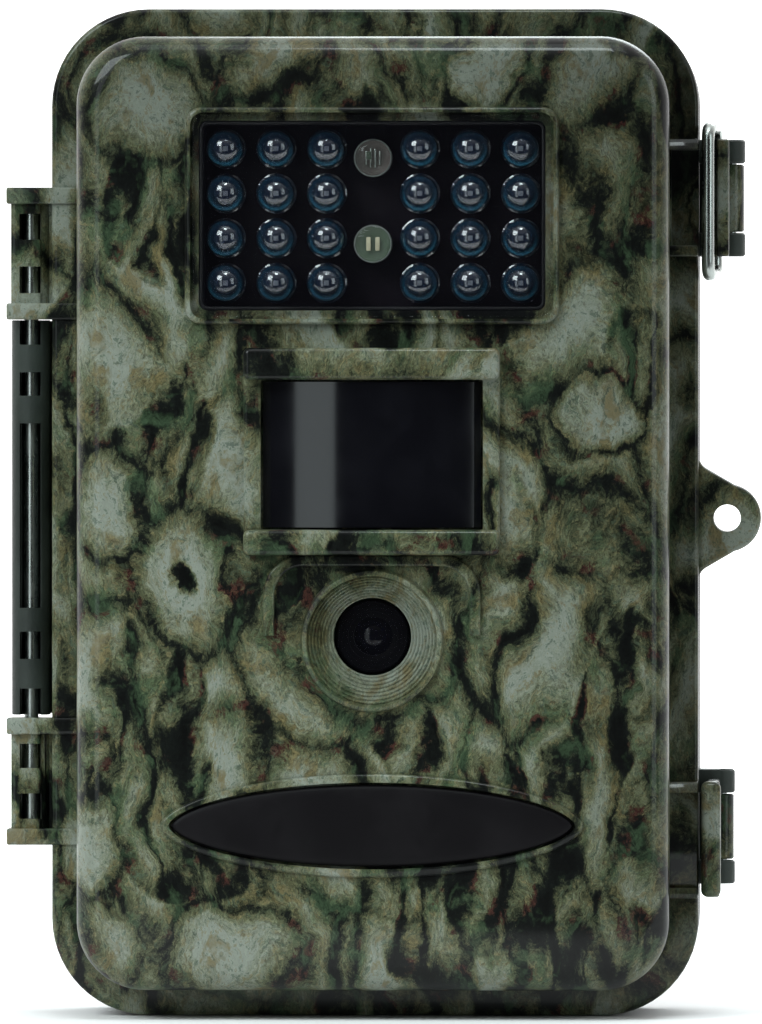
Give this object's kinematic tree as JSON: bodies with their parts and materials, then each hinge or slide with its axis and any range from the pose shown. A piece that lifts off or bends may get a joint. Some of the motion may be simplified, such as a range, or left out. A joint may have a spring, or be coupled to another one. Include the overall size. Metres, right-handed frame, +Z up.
{
  "type": "trail camera",
  "caption": "Weatherproof hinged-case trail camera with infrared lamp array, motion sensor window, lens, side latches, padlock ear and rear strap ridges.",
  "frame": {"origin": "on the bottom face of the rear shell, midway across the width, 4 mm behind the parting plane", "axes": "+Z up, the lens looks along -Y, +X is the viewer's right when facing the lens"},
  "size_m": [0.1049, 0.0553, 0.14],
  "materials": {
    "camo_shell": "printed tree-bark camouflage under a clear coat",
    "rear_shell": "fine moulded texture, dark grey-green",
    "black_plastic": "smooth black",
    "panel_plastic": "fine moulded texture",
    "window": "clear polished acrylic",
    "led_lens": "tinted epoxy",
    "sensor_lens": "clear epoxy",
    "pir_film": "glossy near-black polyethylene",
    "board": "green solder mask",
    "steel": "bright drawn steel",
    "brass": "turned brass",
    "rubber": "matte black silicone",
    "key_rubber": "matte grey silicone",
    "lens_glass": "coated optical glass",
    "screen": "polished screen cover",
    "card": "satin blue"
  },
  "bodies": {
    "housing": {"rear_cover": "rear_shell", "gasket": "rubber", "hinge_pin": "steel", "battery_tray": "black_plastic", "power_jack": "black_plastic", "tripod_insert": "brass", "tripod_boss": "rear_shell", "upper_latch_pin": "steel", "lower_latch_pin": "steel", "contact_strip_1": "steel", "contact_strip_2": "steel", "contact_strip_3": "steel", "contact_strip_4": "steel", "tray_screw_1": "steel", "tray_screw_2": "steel", "tray_screw_3": "steel", "tray_screw_4": "steel"},
    "door": {"front_cover": "camo_shell", "led_window": "window", "led_board": "led_lens", "indicator_led": "sensor_lens", "light_sensor": "sensor_lens", "pir_window": "pir_film", "pir_sensor": "steel", "lens_window": "window", "lens_barrel": "black_plastic", "front_lens": "lens_glass", "image_sensor": "board", "badge_plate": "black_plastic", "main_board": "board", "inner_panel": "panel_plastic", "display": "screen", "card_slot": "steel", "usb_socket": "steel", "video_socket": "black_plastic", "panel_screw_1": "steel", "panel_screw_2": "steel", "panel_screw_3": "steel", "panel_screw_4": "steel"},
    "filter": {"ir_cut_filter": "lens_glass"},
    "switch": {"power_switch": "key_rubber"},
    "card": {"memory_card": "card"},
    "plug": {"port_plug": "rubber"},
    "upper_lever": {"upper_latch": "camo_shell"},
    "bail": {"upper_bail": "steel"},
    "lower_lever": {"lower_latch": "camo_shell"},
    "key_up": {"key_up": "key_rubber"},
    "key_down": {"key_down": "key_rubber"},
    "key_left": {"key_left": "key_rubber"},
    "key_right": {"key_right": "key_rubber"},
    "key_ok": {"key_ok": "key_rubber"},
    "key_menu": {"key_menu": "key_rubber"},
    "key_replay": {"key_replay": "key_rubber"}
  },
  "joints": [
    {"name": "door_hinge", "type": "hinge", "parent": "housing", "child": "door", "pos_m": [-0.048, -0.007, 0.0695], "axis": [0, 0, -1], "range_deg": [0, 130]},
    {"name": "upper_latch_hinge", "type": "hinge", "parent": "housing", "child": "upper_lever", "pos_m": [0.0494, 0.002, 0.11375], "axis": [0, 0, 1], "range_deg": [0, 100]},
    {"name": "upper_bail_hinge", "type": "hinge", "parent": "upper_lever", "child": "bail", "pos_m": [0.04735, -0.003, 0.11325], "axis": [0, 0, 1], "range_deg": [0, 60]},
    {"name": "lower_latch_hinge", "type": "hinge", "parent": "housing", "child": "lower_lever", "pos_m": [0.0481, 0.002, 0.026], "axis": [0, 0, 1], "range_deg": [0, 100]},
    {"name": "power_switch_slide", "type": "slide", "parent": "door", "child": "switch", "axis": [1, 0, 0], "range_m": [-0.003, 0.003]},
    {"name": "card_eject", "type": "slide", "parent": "door", "child": "card", "axis": [0, 0, -1], "range_m": [0, 0.003]},
    {"name": "ir_filter_slide", "type": "slide", "parent": "door", "child": "filter", "axis": [1, 0, 0], "range_m": [0, 0.009]},
    {"name": "port_plug_pull", "type": "slide", "parent": "housing", "child": "plug", "axis": [1, 0, 0], "range_m": [0, 0.008]},
    {"name": "key_up_press", "type": "slide", "parent": "door", "child": "key_up", "axis": [0, -1, 0], "range_m": [0, 0.0004], "stiffness_N_per_m": 3000},
    {"name": "key_down_press", "type": "slide", "parent": "door", "child": "key_down", "axis": [0, -1, 0], "range_m": [0, 0.0004], "stiffness_N_per_m": 3000},
    {"name": "key_left_press", "type": "slide", "parent": "door", "child": "key_left", "axis": [0, -1, 0], "range_m": [0, 0.0004], "stiffness_N_per_m": 3000},
    {"name": "key_right_press", "type": "slide", "parent": "door", "child": "key_right", "axis": [0, -1, 0], "range_m": [0, 0.0004], "stiffness_N_per_m": 3000},
    {"name": "key_ok_press", "type": "slide", "parent": "door", "child": "key_ok", "axis": [0, -1, 0], "range_m": [0, 0.0004], "stiffness_N_per_m": 3000},
    {"name": "key_menu_press", "type": "slide", "parent": "door", "child": "key_menu", "axis": [0, -1, 0], "range_m": [0, 0.0004], "stiffness_N_per_m": 3000},
    {"name": "key_replay_press", "type": "slide", "parent": "door", "child": "key_replay", "axis": [0, -1, 0], "range_m": [0, 0.0004], "stiffness_N_per_m": 3000}
  ]
}
